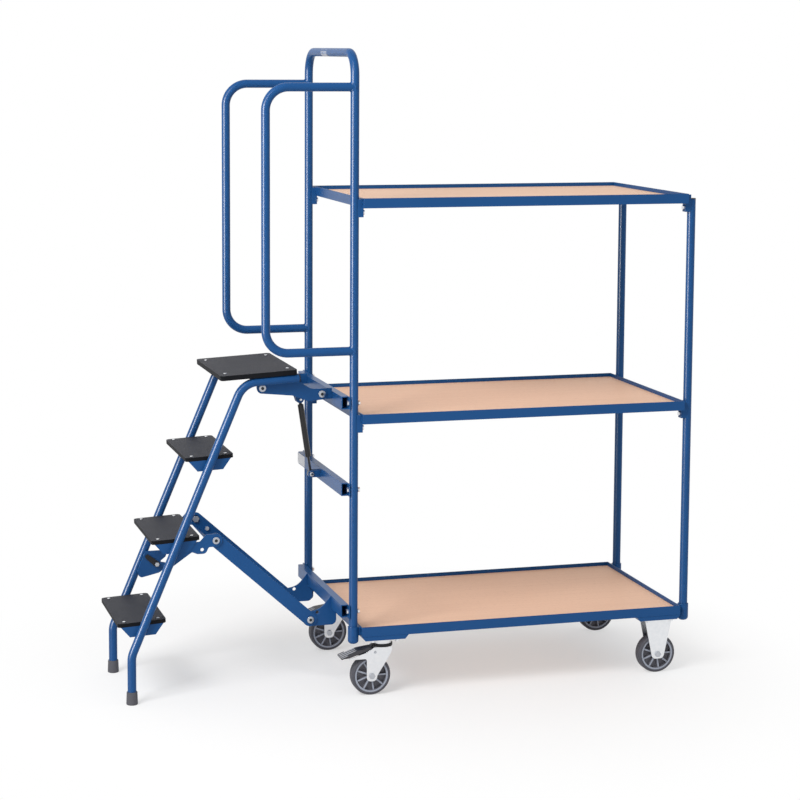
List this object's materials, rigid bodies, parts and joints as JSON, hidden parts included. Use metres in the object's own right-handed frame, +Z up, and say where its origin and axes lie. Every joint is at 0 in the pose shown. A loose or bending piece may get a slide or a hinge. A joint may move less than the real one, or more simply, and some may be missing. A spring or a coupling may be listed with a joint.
{
  "type": "order picking trolley",
  "caption": "Tube-frame shelf trolley on casters with wood shelves, a push bar, guard rails and a folding spring-assisted ladder for reaching high racks.",
  "frame": {"origin": "on the floor under the middle of the trolley's outline", "axes": "+Z up, +X along the trolley away from the ladder, +Y across it"},
  "size_m": [1.839, 0.634, 2.0064],
  "materials": {
    "blue_steel": "satin powder coat",
    "zinc_steel": "bright zinc plate",
    "wood": "pale laminate",
    "tread_board": "dark anti-slip film",
    "tyre": "matt grey",
    "wheel_plastic": "matt",
    "grey_rubber": "matt",
    "black_plastic": "matt",
    "black_steel": "satin black"
  },
  "bodies": {
    "frame": {"handle_hoop": "blue_steel", "right_posts": "blue_steel", "right_post_caps": "black_plastic", "guard_rail_front": "blue_steel", "guard_rail_back": "blue_steel", "post_sockets": "blue_steel", "deck_frame": "blue_steel", "deck_panel": "wood", "middle_shelf_frame": "blue_steel", "middle_shelf_panel": "wood", "top_shelf_frame": "blue_steel", "top_shelf_panel": "wood", "shelf_brackets": "blue_steel", "upper_crossbar": "blue_steel", "middle_crossbar": "blue_steel", "lower_crossbar": "blue_steel", "frame_bolts": "zinc_steel", "caster_beams": "blue_steel", "swivel_plates": "zinc_steel", "fixed_housings": "zinc_steel", "fixed_axles": "zinc_steel", "caster_bolts": "zinc_steel", "crossbar_lugs": "blue_steel", "brace_brackets": "blue_steel", "frame_pivot_bolts": "zinc_steel"},
    "link": {"link_plates": "blue_steel", "link_cross_member": "blue_steel", "strut_pin": "zinc_steel"},
    "ladder": {"ladder_rails": "blue_steel", "foot_caps": "grey_rubber", "rail_end_plugs": "black_plastic", "lower_tread_board": "tread_board", "middle_tread_board": "tread_board", "upper_tread_board": "tread_board", "tread_holders": "blue_steel", "platform_board": "tread_board", "tread_screws": "zinc_steel", "platform_holder": "blue_steel", "ladder_plate_front": "blue_steel", "ladder_plate_back": "blue_steel", "ladder_pivot_bolts": "zinc_steel"},
    "brace": {"brace": "blue_steel", "brace_stop_bolt": "zinc_steel"},
    "strut_rod": {"strut_rod": "black_steel"},
    "strut_cylinder": {"strut_cylinder": "black_steel"},
    "latch_lever": {"latch_lever": "black_plastic"},
    "swivel_fork_front": {"swivel_fork_front": "zinc_steel", "fork_pins_front": "zinc_steel"},
    "brake_pedal_front": {"brake_pedal_front": "black_plastic"},
    "swivel_wheel_front": {"swivel_hub_front": "wheel_plastic", "swivel_tyre_front": "tyre"},
    "fixed_wheel_front": {"fixed_hub_front": "wheel_plastic", "fixed_tyre_front": "tyre"},
    "swivel_fork_back": {"swivel_fork_back": "zinc_steel", "fork_pins_back": "zinc_steel"},
    "brake_pedal_back": {"brake_pedal_back": "black_plastic"},
    "swivel_wheel_back": {"swivel_hub_back": "wheel_plastic", "swivel_tyre_back": "tyre"},
    "fixed_wheel_back": {"fixed_hub_back": "wheel_plastic", "fixed_tyre_back": "tyre"}
  },
  "joints": [
    {"name": "ladder_fold", "type": "hinge", "parent": "frame", "child": "link", "pos_m": [-0.2757, 0, 0.9385], "axis": [0, 1, 0], "range_deg": [0, 50]},
    {"name": "ladder_pivot", "type": "hinge", "parent": "link", "child": "ladder", "pos_m": [-0.46532, 0, 0.96378], "axis": [0, 1, 0], "range_deg": [-61.2, 0]},
    {"name": "brace_pivot", "type": "hinge", "parent": "frame", "child": "brace", "pos_m": [-0.3107, 0, 0.2215], "axis": [0, 1, 0], "range_deg": [0, 29.8]},
    {"name": "strut_pivot", "type": "hinge", "parent": "frame", "child": "strut_rod", "pos_m": [-0.2693, 0, 0.656], "axis": [0, 1, 0], "range_deg": [-3.7, 0]},
    {"name": "strut_stroke", "type": "slide", "parent": "strut_rod", "child": "strut_cylinder", "axis": [-0.1495, 0, 0.9888], "range_m": [0, 0.0395]},
    {"name": "latch_turn", "type": "hinge", "parent": "ladder", "child": "latch_lever", "pos_m": [-0.74035, 0.1585, 0.353], "axis": [0, 1, 0], "range_deg": [0, 35]},
    {"name": "caster_swivel_front", "type": "hinge", "parent": "frame", "child": "swivel_fork_front", "pos_m": [-0.1063, -0.265, 0.15], "axis": [0, 0, 1], "continuous": true},
    {"name": "swivel_wheel_spin_front", "type": "hinge", "parent": "swivel_fork_front", "child": "swivel_wheel_front", "pos_m": [-0.1443, -0.265, 0.0625], "axis": [0, 1, 0], "continuous": true},
    {"name": "brake_press_front", "type": "hinge", "parent": "swivel_fork_front", "child": "brake_pedal_front", "pos_m": [-0.1343, -0.265, 0.138], "axis": [0, 1, 0], "range_deg": [-12, 0]},
    {"name": "fixed_wheel_spin_front", "type": "hinge", "parent": "frame", "child": "fixed_wheel_front", "pos_m": [0.8167, -0.265, 0.0625], "axis": [0, 1, 0], "continuous": true},
    {"name": "caster_swivel_back", "type": "hinge", "parent": "frame", "child": "swivel_fork_back", "pos_m": [-0.1063, 0.265, 0.15], "axis": [0, 0, 1], "continuous": true},
    {"name": "swivel_wheel_spin_back", "type": "hinge", "parent": "swivel_fork_back", "child": "swivel_wheel_back", "pos_m": [-0.1443, 0.265, 0.0625], "axis": [0, 1, 0], "continuous": true},
    {"name": "brake_press_back", "type": "hinge", "parent": "swivel_fork_back", "child": "brake_pedal_back", "pos_m": [-0.1343, 0.265, 0.138], "axis": [0, 1, 0], "range_deg": [-12, 0]},
    {"name": "fixed_wheel_spin_back", "type": "hinge", "parent": "frame", "child": "fixed_wheel_back", "pos_m": [0.8167, 0.265, 0.0625], "axis": [0, 1, 0], "continuous": true}
  ],
  "couplings": [
    {"joint": "ladder_pivot", "follows": "ladder_fold", "ratio": -1.2195},
    {"joint": "brace_pivot", "follows": "ladder_fold", "ratio": 0.5915},
    {"joint": "strut_pivot", "follows": "ladder_fold", "ratio": -0.07177},
    {"joint": "strut_stroke", "follows": "ladder_fold", "m_per_rad": 0.0451}
  ]
}
